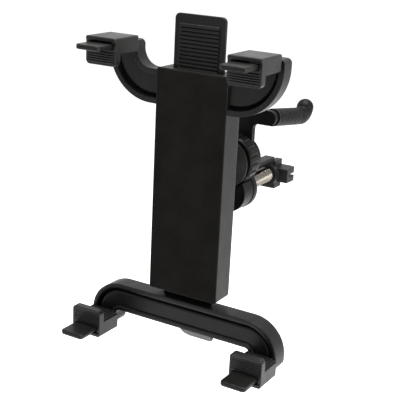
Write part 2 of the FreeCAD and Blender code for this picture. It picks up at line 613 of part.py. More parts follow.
# A turned body on the Y axis whose rim is gripped by round flutes
def fluted(name, corners, z, flutes, flute_r, rim_r):
    body = make("PartDesign::Body", name + "_body")
    turn = body.newObject("PartDesign::Revolution", name + "_turn")
    profile = outline(body, "XY_Plane", corners)
    turn.Profile = profile
    turn.ReferenceAxis = (profile, ["V_Axis"])
    turn.Angle = 360
    doc.recompute()
    groove = body.newObject("Sketcher::SketchObject", name + "_flute_outline")
    plane = [f for f in body.Origin.OriginFeatures if f.Role == "XZ_Plane"]
    groove.AttachmentSupport = [(plane[0], "")]
    groove.MapMode = "FlatFace"
    groove.addGeometry(Part.Circle(Vector(10, 0, 0), Vector(0, 0, 1), 1.0), False)
    groove.addConstraint(sketcher_link("PointOnObject", 0, 3, -1))
    at = groove.addConstraint(sketcher_link("DistanceX", -1, 1, 0, 3, 10.0))
    groove.setExpression(f"Constraints[{at}]", formula(f"{rim_r} + {flute_r}*0.35"))
    across = groove.addConstraint(sketcher_link("Radius", 0, 1.0))
    groove.setExpression(f"Constraints[{across}]", formula(flute_r))
    pocket = body.newObject("PartDesign::Pocket", name + "_flute")
    pocket.Profile = groove
    pocket.Type = 1
    pocket.SideType = "Symmetric"
    doc.recompute()
    ring = body.newObject("PartDesign::PolarPattern", name + "_flutes")
    ring.Originals = [pocket]
    ring.Axis = ([f for f in body.Origin.OriginFeatures if f.Role == "Y_Axis"][0], [""])
    ring.Angle = 360
    bind(ring, Occurrences=flutes)
    body.Tip = ring
    doc.recompute()
    place(body, "0", "0", z)
    return body


def ring_nut():
    f, b = "ring_front", RING_BACK
    corners = [("ring_r - ring_chamfer", f), ("ring_r", f"{f} + ring_chamfer"),
               ("ring_r", f"{b} - ring_chamfer"),
               ("ring_r - ring_chamfer", b), ("ring_bore", b), ("ring_bore", f"{f} + ring_lip"),
               ("ball_r*0.7", f"{f} + ring_lip"), ("ball_r*0.7", f)]
    body = fluted("ring", corners, "ball_z", "ring_grooves", "ring_groove_r", "ring_r")
    seat = ball("ring_seat", "0", "ball_y", "ball_z", f"{SOCKET_R} + turn_gap")
    mouth = bar_y("ring_mouth", "0", "ball_z", (f"{f} - over", f"{f} + over"), "ball_r + lap")
    piece("ring_nut", cut("ring_done", body, seat, mouth))


# Vent bracket: socket cup, upright plate with a waist, hook beam, and a yoke for the thumb nut
def vent_bracket():
    plate = ("plate_y", PLATE_BACK)
    cup = bar_y("bracket_cup", "0", "ball_z", ("cup_y", f"{PLATE_BACK}"), "ring_bore - cup_wall_gap")
    hub = bar_y("bracket_hub", "0", "ball_z", plate, "web_r")
    seat = ball("bracket_seat", "0", "ball_y", "ball_z", SOCKET_R)
    mouth = bar_y("bracket_mouth", "0", "ball_z", ("cup_y - over", "ball_y"), SOCKET_R)
    neck = box("bracket_neck", both("waist_w/2"), plate, ("bolt_z", "beam_z"))
    beam = box("bracket_beam", both("hook_x"), (BEAM_Y, BEAM_BACK),
               ("beam_z - beam_h/2", "beam_z + beam_h/2"))
    ends = [bar_y(f"bracket_end{i}", f"{s}*hook_x", "beam_z", (BEAM_Y, BEAM_BACK), "beam_h/2") for i,
            s in enumerate((-1, 1))]
    gussets = []
    for i, s in enumerate((-1, 1)):
        inner, outer = ordered(s, "waist_w/2 - lap", "waist_w/2 + waist_r")
        low = "beam_z - beam_h/2 - waist_r"
        block = box(f"bracket_gusset_block{i}", (inner, outer), plate, (low, "beam_z - beam_h/2 + lap"))
        hollow = bar_y(f"bracket_gusset_hollow{i}", f"{s}*(waist_w/2 + waist_r)", low,
                       ("plate_y - over", f"{PLATE_BACK} + over"), "waist_r")
        gussets.append(cut(f"bracket_gusset{i}", block, hollow))
    sockets = [bar_y(f"bracket_rod_hole{i}", f"{s}*hook_x", "beam_z",
                     (f"{BEAM_BACK} - rod_root", f"{BEAM_BACK} + over"), "rod_r + turn_gap") for i,
                     s in enumerate((-1, 1))]
    lug = bar_y("bracket_lug", "0", "bolt_z", plate, "lug_r")
    barrel = cut("bracket_barrel",
                 bar_y("bracket_barrel_bar", "0", "bolt_z", ("barrel_front", "plate_y + lap"), "barrel_r"),
                 bar_y("bracket_ring_room", "0", "ball_z",
                       ("barrel_front - over", f"{RING_BACK} + ring_clear"),
                       "ring_r + ring_clear"))
    bolt_hole = bar_y("bracket_bolt_hole", "0", "bolt_z", ("bolt_front - bolt_room", f"{PLATE_BACK} + over"),
                      "bolt_r + slide_gap")
    key_slot = box("bracket_key_slot", both("key_w/2 + slide_gap"),
                   ("key_front - key_room", f"{PLATE_BACK} + over"),
                   (f"{KEY_LOW} - slide_gap", f"{KEY_LOW} + key_t + slide_gap"))
    solid = fuse("bracket_solid", cup, hub, neck, beam, *ends, *gussets, lug, barrel)
    piece("vent_bracket", cut("bracket", solid, seat, mouth, *sockets, bolt_hole, key_slot))


KEY_LOW = "bolt_z + nut_r + slide_gap"


# Hook: a run that falls a little towards the vent and an upward bend with a rounded tip
def hook_line(x):
    along = Vector(0, 1, -size("hook_slope"))
    root = Vector(x, size("plate_y") + size("beam_d"), size("beam_z"))
    return root, root + along * size("hook_run"), along.normalize()


def swept_hook(x, lead, radius):
    root, bend, along = hook_line(x)
    angle = size("hook_bend_angle")
    start = root + along * lead
    centre = bend + X.cross(along) * size("hook_bend_r")
    straight = Part.makeCylinder(radius, (bend - start).Length, start, along)
    elbow = Part.Face(Part.Wire(Part.makeCircle(radius, bend, along))).revolve(centre, X, angle)
    dome = Part.makeSphere(radius, centre + Rotation(X, angle).multVec(bend - centre))
    return straight, elbow, dome


def hook_rod(label, side):
    x = side * size("hook_x")
    root = hook_line(x)[0]
    straight, elbow, dome = swept_hook(x, 0, size("rod_r"))
    stub_len = size("rod_root") - 0.05
    stub = Part.makeCylinder(size("rod_r"), stub_len, root - Y * stub_len, Y)
    knee = Part.makeSphere(size("rod_r"), root)
    made = make("Part::Feature", label + "_solid")
    made.Shape = straight.fuse([elbow, dome, stub, knee]).removeSplitter()
    piece(label, made)


def hook_sleeve(label, side):
    x = side * size("hook_x")
    root, bend, along = hook_line(x)
    lead, pitch = size("sleeve_lead"), size("sleeve_rib_pitch")
    collar_end = lead + size("sleeve_collar")
    outer, inner = size("sleeve_r") - size("sleeve_rib_high"), size("rod_r") + size("turn_gap")
    straight = swept_hook(x, lead, outer)[0]
    elbow, tip = swept_hook(x, lead, size("sleeve_r"))[1:]
    hollow = swept_hook(x, lead - size("over"), inner)
    collar = Part.makeCylinder(size("sleeve_r"), size("sleeve_collar"), root + along * lead, along)
    count = int(((bend - root).Length - collar_end) / pitch)
    ribs = [Part.makeCylinder(size("sleeve_r"), size("sleeve_rib_wide"),
                              root + along * (collar_end + (i + 0.5) * pitch), along)
            for i in range(count)]
    made = make("Part::Feature", label + "_solid")
    solid = straight.fuse([elbow, tip, collar] + ribs).removeSplitter()
    made.Shape = solid.cut(hollow[0].fuse([hollow[1], hollow[2]]))
    piece(label, made)


# Thumb nut that bears on the plate and drives the clip
def thumb_nut():
    f, b = f"{PLATE_BACK} + seat_gap", f"{PLATE_BACK} + seat_gap + nut_len"
    corners = [("nut_r - nut_edge", f), ("nut_r", f"{f} + nut_edge"), ("nut_r", f"{b} - nut_edge"),
               ("nut_r - nut_edge", b), ("bolt_r + turn_gap", b), ("bolt_r + turn_gap", f)]
    piece("thumb_nut", fluted("nut", corners, "bolt_z", "nut_grooves", "nut_groove_r", "nut_r"))


def clip_bolt():
    bolt = bar_y("bolt_bar", "0", "bolt_z", ("bolt_front", "bolt_front + bolt_len"), "bolt_r")
    piece("clip_bolt",
          rounded("bolt", bolt, size("bolt_edge"), lambda e: e.Curve.TypeId == "Part::GeomCircle"))


# Clip: a hub on the bolt and a cross of jaws, split both ways for level and upright vent blades
def vent_clip():
    end = "bolt_front + bolt_len"
    hub_y = (f"{end} - hub_grip", f"{end} - hub_grip + hub_len")
    back = f"{hub_y[1]}"
    hub = bar_y("clip_hub", "0", "bolt_z", hub_y, "hub_r")
    level_jaw = box("clip_level", both("jaw_w/2"), (back, f"{back} + jaw_len"),
                    ("bolt_z - jaw_h/2", "bolt_z + jaw_h/2"))
    doc.recompute()
    tip_y = level_jaw.Shape.BoundBox.YMax
    level_jaw = rounded("clip_level_round", level_jaw, min(size("jaw_corner"), size("jaw_w") * 0.4),
                        lambda e: runs_along(e, Z) and lies_at(e, Y, tip_y))
    upright = box("clip_upright", both("cross_w/2"), (f"{back} - over", f"{back} + cross_len"),
                  ("bolt_z - cross_h/2", "bolt_z + cross_h/2"))
    key = box("clip_key", both("key_w/2"), ("key_front", f"{back} + over"), (KEY_LOW, f"{KEY_LOW} + key_t"))
    web = box("clip_web", both("key_w/2"), (hub_y[0], f"{back} + over"),
              ("bolt_z + hub_r - over", f"{KEY_LOW} + over"))
    socket = bar_y("clip_socket", "0", "bolt_z", (f"{hub_y[0]} - over", end), "bolt_r + turn_gap")
    level_slot = box("clip_level_slot", both("jaw_w"), (f"{back} + slot_floor", f"{back} + jaw_len + over"),
                     ("bolt_z - blade_slot/2", "bolt_z + blade_slot/2"))
    upright_slot = box("clip_upright_slot", both("blade_slot/2"),
                       (f"{back} + slot_floor", f"{back} + jaw_len + over"),
                       ("bolt_z - cross_h", "bolt_z + cross_h"))
    lead = make("Part::Box", "clip_lead")
    bind(lead, Length="2*jaw_w", Width="lead_in*1.414", Height="lead_in*1.414")
    lead.Placement = Placement(Vector(), Rotation(X, 45))
    place(lead, "-jaw_w", f"{back} + jaw_len", "bolt_z - lead_in")
    solid = fuse("clip_solid", hub, level_jaw, upright, key, web)
    piece("vent_clip", cut("clip", solid, socket, level_slot, upright_slot, lead))


front_cover()
foam_pad()
rear_case()
case_screws()
click_spring()
lower_arm()
ratchet_tongue()
tongue_screws()
UPPER = (CLAW_X_UP, "claw_front_up", CLAW_TOP, -1, "claw_len_up", "lip_h_up")
LOWER = (CLAW_X_LOW, "claw_front_low", CLAW_BOTTOM, 1, "claw_len_low", "lip_h_low")
CLAWS = [("upper_left", -1, UPPER), ("upper_right", 1, UPPER), ("lower_left", -1, LOWER),
         ("lower_right", 1, LOWER)]
for corner, side, (across, front, face, inward, length, lip_high) in CLAWS:
    claw(f"claw_{corner}", f"{side}*{across}", front, face, inward, length, lip_high)
    claw_seat(f"seat_{corner}", f"{side}*{across}", front, face, inward, length)
ball_stud()
pivot_screw()
spring_washer()
friction_washer()
ball_liner()
ring_nut()
vent_bracket()
for name, side in (("left", -1), ("right", 1)):
    hook_rod(f"hook_rod_{name}", side)
    hook_sleeve(f"hook_sleeve_{name}", side)
thumb_nut()
clip_bolt()
vent_clip()

doc.recompute()
for thing in doc.Objects:
    if "Invalid" in thing.State or "Error" in thing.State:
        raise RuntimeError(f"{thing.Name} failed: {thing.State}")
os.makedirs("parts", exist_ok=True)
for label, thing in pieces.items():
    shape = thing.Shape
    if shape.isNull() or not shape.isValid():
        raise RuntimeError(f"{label} has no valid shape")
    print(label, len(shape.Solids), "solids", round(shape.Volume, 1), "mm3")
    shape.exportStep(f"parts/{label}.step")
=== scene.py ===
import json
import math

import bmesh
import bpy
from mathutils import Matrix, Vector

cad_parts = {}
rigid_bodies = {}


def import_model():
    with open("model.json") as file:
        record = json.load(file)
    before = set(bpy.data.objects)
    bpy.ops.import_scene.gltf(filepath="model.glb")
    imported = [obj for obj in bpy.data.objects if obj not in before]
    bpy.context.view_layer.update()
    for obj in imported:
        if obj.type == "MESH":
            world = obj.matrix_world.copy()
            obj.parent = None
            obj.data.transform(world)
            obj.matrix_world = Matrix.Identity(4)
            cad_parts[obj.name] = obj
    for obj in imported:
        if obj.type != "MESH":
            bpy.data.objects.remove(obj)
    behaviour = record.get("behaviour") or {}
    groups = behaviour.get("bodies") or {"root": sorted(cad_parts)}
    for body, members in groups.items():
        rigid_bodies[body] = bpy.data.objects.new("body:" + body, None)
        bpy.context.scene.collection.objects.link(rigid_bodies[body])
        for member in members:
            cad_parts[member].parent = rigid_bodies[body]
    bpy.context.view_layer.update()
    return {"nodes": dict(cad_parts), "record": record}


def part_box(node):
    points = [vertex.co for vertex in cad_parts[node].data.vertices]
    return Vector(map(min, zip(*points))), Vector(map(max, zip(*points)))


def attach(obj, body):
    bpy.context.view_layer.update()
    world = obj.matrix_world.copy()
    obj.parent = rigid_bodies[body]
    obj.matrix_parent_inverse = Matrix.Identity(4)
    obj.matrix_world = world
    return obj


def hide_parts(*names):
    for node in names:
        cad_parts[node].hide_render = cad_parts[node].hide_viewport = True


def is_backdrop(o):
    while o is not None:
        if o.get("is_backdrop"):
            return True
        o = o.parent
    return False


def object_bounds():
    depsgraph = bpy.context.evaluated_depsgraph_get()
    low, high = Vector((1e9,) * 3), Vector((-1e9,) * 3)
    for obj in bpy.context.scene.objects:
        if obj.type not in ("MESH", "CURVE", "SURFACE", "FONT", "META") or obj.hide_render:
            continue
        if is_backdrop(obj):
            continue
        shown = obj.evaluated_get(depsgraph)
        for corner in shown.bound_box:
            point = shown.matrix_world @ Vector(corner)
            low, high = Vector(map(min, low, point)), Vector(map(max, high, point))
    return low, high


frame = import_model()
nodes = frame["nodes"]
mm = 0.001
scene = bpy.context.scene
scene.view_settings.view_transform = "Standard"
print("loaded", len(nodes), "nodes")


# small helper for shader trees

class Shader:
    noiseSpan = (0.25, 0.75)  # nearly all values of a noise lie in here
    edgeSamples = 6

    def __init__(self, name):
        self.mat = bpy.data.materials.new(name)
        self.mat.use_nodes = True
        self.tree = self.mat.node_tree
        self.surface = self.tree.nodes["Principled BSDF"]
        self.where = self.add("ShaderNodeTexCoord").outputs["Object"]

    def add(self, kind, **settings):
        node = self.tree.nodes.new(kind)
        for key, value in settings.items():
            setattr(node, key, value)
        return node

    def link(self, a, b):
        self.tree.links.new(a, b)

    def feed(self, sources):  # sockets or plain values into the surface
        for label, source in sources.items():
            socket = self.surface.inputs[label]
            if isinstance(source, bpy.types.NodeSocket):
                self.link(source, socket)
            else:
                socket.default_value = source

    def stretched(self, scale):  # pattern pulled out along an axis
        mapping = self.add("ShaderNodeMapping")
        mapping.inputs["Scale"].default_value = scale
        self.link(self.where, mapping.inputs["Vector"])
        return mapping.outputs["Vector"]

    def noise(self, scale, detail=3.0, rough=0.5, vector=None):
        node = self.add("ShaderNodeTexNoise")
        node.inputs["Scale"].default_value = scale
        node.inputs["Detail"].default_value = detail
        node.inputs["Roughness"].default_value = rough
        self.link(vector or self.where, node.inputs["Vector"])
        return node.outputs["Fac"]

    def tones(self, source, look, darkAt=0.3, lightAt=0.7):
        node = self.add("ShaderNodeValToRGB")
        stops = ((darkAt, look["dark"]), (lightAt, look["light"]))
        for point, (at, colour) in zip(node.color_ramp.elements, stops):
            point.position = at
            point.color = (*colour, 1.0)
        self.link(source, node.inputs["Fac"])
        return node.outputs["Color"]

    def spread(self, source, low, high):
        node = self.add("ShaderNodeMapRange")
        node.inputs["From Min"].default_value = self.noiseSpan[0]
        node.inputs["From Max"].default_value = self.noiseSpan[1]
        node.inputs["To Min"].default_value = low
        node.inputs["To Max"].default_value = high
        self.link(source, node.inputs["Value"])
        return node.outputs["Result"]

    def bump(self, height, strength, distance, under=None):
        node = self.add("ShaderNodeBump")
        node.inputs["Strength"].default_value = strength
        node.inputs["Distance"].default_value = distance
        self.link(height, node.inputs["Height"])
        if under is not None:
            self.link(under, node.inputs["Normal"])
        return node.outputs["Normal"]

    def softEdges(self, radius):  # moulded edges are never knife sharp
        node = self.add("ShaderNodeBevel", samples=self.edgeSamples)
        node.inputs["Radius"].default_value = radius
        return node.outputs["Normal"]


# moulded black plastic with faint flow streaks, a fine eroded grain and soft edges
def mouldedPlastic(name, look):
    s = Shader(name)
    flow = s.noise(look["streaks"], detail=4.0, rough=0.6, vector=s.stretched(look["flow"]))
    cloud = s.noise(look["clouds"], detail=2.0)
    grain = s.noise(look["grain"], detail=2.0, rough=0.6)
    soft = s.softEdges(look["edge"]) if look["edge"] else None
    s.feed({"Base Color": s.tones(flow, look),
            "Roughness": s.spread(cloud, *look["rough"]),
            "Specular IOR Level": look["gloss"],
            "Normal": s.bump(grain, look["grainHigh"], look["grainDeep"], soft)})
    return s.mat


# rubber with a dusty bloom and fine pores
def rubber(name, look):
    s = Shader(name)
    dust = s.noise(look["dust"])
    cloud = s.noise(look["clouds"], detail=2.0)
    pores = s.noise(look["pores"], detail=2.0)
    soft = s.softEdges(look["edge"])
    s.feed({"Base Color": s.tones(dust, look, lightAt=0.75),
            "Roughness": s.spread(cloud, *look["rough"]),
            "Specular IOR Level": look["gloss"],
            "Normal": s.bump(pores, look["poreHigh"], look["poreDeep"], soft)})
    return s.mat


# metal with fine drawn lines
def metal(name, look):
    s = Shader(name)
    brushed = s.noise(look["brush"], vector=s.stretched(look["along"]))
    s.feed({"Base Color": s.tones(brushed, look, darkAt=0.25),
            "Metallic": 1.0,
            "Roughness": s.spread(brushed, *look["rough"]),
            "Normal": s.bump(brushed, look["brushHigh"], look["brushDeep"])})
    return s.mat


# open-celled foam, dull and a little fuzzy
def foamSkin(name, look):
    s = Shader(name)
    cells = s.add("ShaderNodeTexVoronoi", feature="F1")
    cells.inputs["Scale"].default_value = look["cells"]
    s.link(s.where, cells.inputs["Vector"])
    s.feed({"Base Color": s.tones(s.noise(look["patches"]), look),
            "Roughness": look["rough"],
            "Specular IOR Level": look["gloss"],
            "Sheen Weight": look["sheen"],
            "Sheen Roughness": look["sheenRough"],
            "Normal": s.bump(cells.outputs["Distance"], look["cellHigh"], look["cellDeep"])})
    return s.mat


evenly = (1.0, 1.0, 1.0)
plasticGrain = dict(clouds=90.0, grain=4200.0, grainDeep=0.12 * mm)
caseLook = dict(plasticGrain, dark=(0.0052, 0.0054, 0.0049), light=(0.0105, 0.0107, 0.0098),
                streaks=60.0, flow=(6.0, 6.0, 0.5), rough=(0.33, 0.44), gloss=0.17,
                grainHigh=0.35, edge=0.8 * mm)
armLook = dict(plasticGrain, dark=(0.0045, 0.0047, 0.0043), light=(0.008, 0.0082, 0.0076),
               streaks=50.0, flow=evenly, rough=(0.29, 0.4), gloss=0.17,
               grainHigh=0.25, edge=1.8 * mm)
clawLook = dict(plasticGrain, dark=(0.0085, 0.0087, 0.0082), light=(0.0135, 0.0138, 0.0128),
                streaks=80.0, flow=(1.0, 0.4, 1.0), rough=(0.31, 0.42), gloss=0.24,
                grain=4600.0, grainHigh=0.3, edge=0.7 * mm)
ventLook = dict(plasticGrain, dark=(0.003, 0.003, 0.0028), light=(0.006, 0.006, 0.0056),
                streaks=90.0, flow=evenly, rough=(0.33, 0.44), gloss=0.1,
                grainHigh=0.3, edge=0.5 * mm)
# thin bars are rounded in the mesh, so they go without soft edges
ribLook = dict(armLook, edge=None, grainDeep=0.03 * mm, rough=(0.25, 0.36))
gripLook = dict(clawLook, edge=None, grainDeep=0.03 * mm)

rubberGrain = dict(dust=260.0, clouds=120.0, pores=3600.0, poreHigh=0.25, poreDeep=0.1 * mm)
hookLook = dict(rubberGrain, dark=(0.003, 0.003, 0.003), light=(0.009, 0.009, 0.0086),
                rough=(0.36, 0.48), gloss=0.1, edge=0.2 * mm)
seatLook = dict(rubberGrain, dark=(0.008, 0.008, 0.008), light=(0.013, 0.013, 0.013),
                rough=(0.56, 0.68), gloss=0.16, edge=0.2 * mm)
clipLook = dict(rubberGrain, dark=(0.007, 0.007, 0.007), light=(0.012, 0.012, 0.012),
                rough=(0.4, 0.52), gloss=0.2, edge=0.6 * mm)

drawnLines = dict(brushHigh=0.08, brushDeep=0.05 * mm)
boltLook = dict(drawnLines, dark=(0.14, 0.13, 0.112), light=(0.21, 0.195, 0.168),
                brush=220.0, along=(1.0, 6.0, 1.0), rough=(0.2, 0.34))
steelLook = dict(drawnLines, dark=(0.42, 0.42, 0.42), light=(0.6, 0.6, 0.6),
                 brush=300.0, along=(1.0, 5.0, 1.0), rough=(0.26, 0.4))

foamLook = dict(dark=(0.0055, 0.0051, 0.0044), light=(0.0095, 0.0088, 0.0076), patches=70.0,
                rough=0.95, gloss=0.06, sheen=0.04, sheenRough=0.5,
                cells=1500.0, cellHigh=0.6, cellDeep=0.3 * mm)

finishes = {
    "case_black": mouldedPlastic("caseBlack", caseLook),
    "arm_black": mouldedPlastic("armBlack", armLook),
    "claw_black": mouldedPlastic("clawBlack", clawLook),
    "vent_black": mouldedPlastic("ventBlack", ventLook),
    "seat_rubber": rubber("seatRubber", seatLook),
    "hook_rubber": rubber("hookRubber", hookLook),
    "clip_rubber": rubber("clipRubber", clipLook),
    "bolt_metal": metal("boltMetal", boltLook),
    "steel": metal("platedSteel", steelLook),
    "pad_foam": foamSkin("padFoam", foamLook),
}
ribFinish = mouldedPlastic("ribBlack", ribLook)
gripFinish = mouldedPlastic("gripBlack", gripLook)
slotOf = {row["node"]: row["material_slot"] for row in frame["record"]["subparts"]}
for nodeName, obj in nodes.items():
    obj.data.materials.clear()
    obj.data.materials.append(finishes[slotOf[nodeName]])
print("finishes on", len(slotOf), "nodes")


# helpers for pieces

def newPiece(name, mesh, slotName, body, *stoodFor):
    obj = bpy.data.objects.new(name, mesh)
    scene.collection.objects.link(obj)
    if not mesh.materials:
        mesh.materials.append(finishes[slotName])
    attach(obj, body)
    if stoodFor:
        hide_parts(*stoodFor)
    return obj


def meshFrom(bm, name):
    mesh = bpy.data.meshes.new(name)
    bm.to_mesh(mesh)
    bm.free()
    return mesh


def newVerts(made):
    return [g for g in made["geom"] if isinstance(g, bmesh.types.BMVert)]


def rimOf(bm):
    return [e for e in bm.edges if e.is_boundary]


def shaded(mesh, angle=35):
    mesh.polygons.foreach_set("use_smooth", [True] * len(mesh.polygons))
    mesh.set_sharp_from_angle(angle=math.radians(angle))
    return mesh


def bevelled(obj, label, width, segments, fromAngle=50):
    bevel = obj.modifiers.new(label, "BEVEL")
    bevel.width = width
    bevel.segments = segments
    bevel.limit_method = "ANGLE"
    bevel.angle_limit = math.radians(fromAngle)


class NodeTree:
    barSides = 10

    def __init__(self, name, inputs):
        self.tree = bpy.data.node_groups.new(name, "GeometryNodeTree")
        face = self.tree.interface
        face.new_socket("Geometry", in_out="OUTPUT", socket_type="NodeSocketGeometry")
        self.ids = {}
        for label, (kind, _) in inputs.items():
            socket = face.new_socket(label, in_out="INPUT", socket_type=kind)
            self.ids[label] = socket.identifier
        self.values = {label: value for label, (_, value) in inputs.items()}
        self.given = self.tree.nodes.new("NodeGroupInput").outputs
        self.out = self.tree.nodes.new("NodeGroupOutput")

    def node(self, kind, links=None, **settings):
        made = self.tree.nodes.new(kind)
        for key, value in settings.items():
            setattr(made, key, value)
        for key, source in (links or {}).items():
            socket = made.inputs[key]
            if isinstance(source, bpy.types.NodeSocket):
                self.tree.links.new(source, socket)
            else:
                socket.default_value = source
        return made

    def math(self, operation, a, b=0.0):
        made = self.node("ShaderNodeMath", {0: a, 1: b}, operation=operation)
        return made.outputs[0]

    def xyz(self, x, y, z):
        return self.node("ShaderNodeCombineXYZ", {0: x, 1: y, 2: z}).outputs[0]

    def position(self):  # x, y and z of each point
        at = self.node("GeometryNodeInputPosition").outputs[0]
        return self.node("ShaderNodeSeparateXYZ", {0: at}).outputs

    def bar(self, length, radius):  # a round bar along x with closed ends
        half = self.math("MULTIPLY", length, 0.5)
        spine = self.node("GeometryNodeCurvePrimitiveLine", {
            "Start": self.xyz(self.math("MULTIPLY", half, -1.0), 0.0, 0.0),
            "End": self.xyz(half, 0.0, 0.0)})
        section = self.node("GeometryNodeCurvePrimitiveCircle", {
            "Resolution": self.barSides, "Radius": radius})
        made = self.node("GeometryNodeCurveToMesh", {
            "Curve": spine.outputs[0], "Profile Curve": section.outputs[0], "Fill Caps": True})
        return made.outputs[0]

    def ladder(self, rung, count, start, step):  # copies of a rung, one step apart in z
        points = self.node("GeometryNodeMeshLine", {
            "Count": count, "Start Location": start, "Offset": self.xyz(0.0, 0.0, step)})
        copies = self.node("GeometryNodeInstanceOnPoints", {
            "Points": points.outputs[0], "Instance": rung})
        return copies.outputs[0]

    def meshOf(self, geometry):  # realize, paint, and hand back a plain mesh
        real = self.node("GeometryNodeRealizeInstances", {0: geometry}).outputs[0]
        painted = self.node("GeometryNodeSetMaterial", {
            "Geometry": real, "Material": self.given["Material"]})
        self.tree.links.new(painted.outputs[0], self.out.inputs[0])
        name = self.tree.name
        carrier = bpy.data.objects.new(name + "Carrier", bpy.data.meshes.new(name))
        scene.collection.objects.link(carrier)
        modifier = carrier.modifiers.new("nodes", "NODES")
        modifier.node_group = self.tree
        for label, value in self.values.items():
            modifier[self.ids[label]] = value
        depsgraph = bpy.context.evaluated_depsgraph_get()
        mesh = bpy.data.meshes.new_from_object(carrier.evaluated_get(depsgraph))
        carrier.modifiers.remove(modifier)
        bpy.data.objects.remove(carrier)
        return mesh


number, whole, paint = "NodeSocketFloat", "NodeSocketInt", "NodeSocketMaterial"

# foam pad: a thin crowned slab with rolled edges
padSettings = dict(roll=0.9 * mm, rollSteps=4, crown=0.12 * mm, crownShare=0.35, across=22, up=66)


def foamPad(s):
    low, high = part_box("foam_pad")
    middle = (low + high) / 2
    half = (high - low) / 2
    bm = bmesh.new()
    bmesh.ops.create_grid(bm, x_segments=s["across"], y_segments=s["up"], size=1.0)
    for v in bm.verts:
        v.co = Vector((middle.x + v.co.x * half.x, low.y, middle.z + v.co.y * half.z))
    for v in newVerts(bmesh.ops.extrude_edge_only(bm, edges=rimOf(bm))):
        v.co.y = high.y
    bmesh.ops.recalc_face_normals(bm, faces=bm.faces)
    for v in bm.verts:
        fromEdge = min(half.x - abs(v.co.x - middle.x), half.z - abs(v.co.z - middle.z))
        if v.co.y < middle.y:
            dip = max(0.0, 1.0 - fromEdge / (half.x * s["crownShare"]))
            v.co.y += s["crown"] * dip * dip
    mesh = meshFrom(bm, "foamPad")
    obj = newPiece("foamPad", mesh, "pad_foam", "holder", "foam_pad")
    bevelled(obj, "roll", s["roll"], s["rollSteps"])
    shaded(mesh, angle=60)


foamPad(padSettings)
print("foam pad made")

# clip bolt: a rolled thread, one grid wound round its axis and drawn in at both ends
boltSettings = dict(pitch=1.5 * mm, deep=0.75 * mm, chamfer=0.9 * mm, flank=1.25,
                    around=40, perPitch=8, join=1e-6)


def clipBolt(s):
    low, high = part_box("clip_bolt")
    long = high.y - low.y
    rows = int(long / s["pitch"] * s["perPitch"]) + 1
    t = NodeTree("boltThread", {
        "Radius": (number, (high.x - low.x) / 2), "Length": (number, long),
        "Pitch": (number, s["pitch"]), "Depth": (number, s["deep"]),
        "Chamfer": (number, s["chamfer"]), "Around": (whole, s["around"] + 1),
        "Rows": (whole, rows), "Front": (number, low.y),
        "Height": (number, (low.z + high.z) / 2),
        "Material": (paint, finishes["bolt_metal"])})
    g = t.given
    grid = t.node("GeometryNodeMeshGrid", {
        "Size X": 1.0, "Size Y": 1.0, "Vertices X": g["Around"], "Vertices Y": g["Rows"]})
    at = t.position()
    u = t.math("ADD", at[0], 0.5)
    v = t.math("ADD", at[1], 0.5)
    along = t.math("MULTIPLY", v, g["Length"])
    turn = t.math("FRACT", t.math("SUBTRACT", t.math("DIVIDE", along, g["Pitch"]), u))
    fromCrest = t.math("ABSOLUTE", t.math("SUBTRACT", t.math("MULTIPLY", turn, 2.0), 1.0))
    share = t.math("MINIMUM", t.math("MULTIPLY", fromCrest, s["flank"]), 1.0)
    threaded = t.math("SUBTRACT", g["Radius"], t.math("MULTIPLY", share, g["Depth"]))
    toEnd = t.math("MINIMUM", along, t.math("SUBTRACT", g["Length"], along))
    sloped = t.math("ADD", t.math("SUBTRACT", g["Radius"], g["Chamfer"]), toEnd)
    inside = t.math("GREATER_THAN", toEnd, s["join"])
    radius = t.math("MULTIPLY", t.math("MINIMUM", threaded, sloped), inside)
    angle = t.math("MULTIPLY", u, 2 * math.pi)
    place = t.xyz(
        t.math("MULTIPLY", radius, t.math("COSINE", angle)),
        t.math("ADD", along, g["Front"]),
        t.math("ADD", t.math("MULTIPLY", radius, t.math("SINE", angle)), g["Height"]))
    wound = t.node("GeometryNodeSetPosition", {
        "Geometry": grid.outputs["Mesh"], "Position": place})
    closed = t.node("GeometryNodeMergeByDistance", {
        "Geometry": wound.outputs[0], "Distance": s["join"]})
    mesh = t.meshOf(closed.outputs[0])
    bm = bmesh.new()
    bm.from_mesh(mesh)
    bmesh.ops.recalc_face_normals(bm, faces=bm.faces)
    bm.to_mesh(mesh)
    bm.free()
    newPiece("clipBolt", shaded(mesh, angle=50), "bolt_metal", "clip", "clip_bolt")


clipBolt(boltSettings)
print("clip bolt threaded")

# ratchet tongue: a rimmed strip with rounded shoulders, and leaning ribs across its tray
tongueSettings = dict(corner=3.0 * mm, cornerSteps=8, rim=3.0 * mm, slope=1.0 * mm, deep=1.2 * mm,
                      edge=0.5 * mm, edgeSteps=3, ribPitch=2.29 * mm, ribRadius=0.6 * mm,
                      ribInset=0.6 * mm, firstRib=6.4 * mm, lastRib=14.0 * mm, lean=1.1)


def roundedStrip(low, high, corner, steps):
    points = [(low.x, low.z), (high.x, low.z)]
    for sign, cx in ((1, high.x - corner), (-1, low.x + corner)):
        for i in range(steps + 1):
            a = math.radians(90 * i / steps)
            dx, dz = (math.cos(a), math.sin(a)) if sign > 0 else (-math.sin(a), math.cos(a))
            points.append((cx + corner * dx, high.z - corner + corner * dz))
    return points


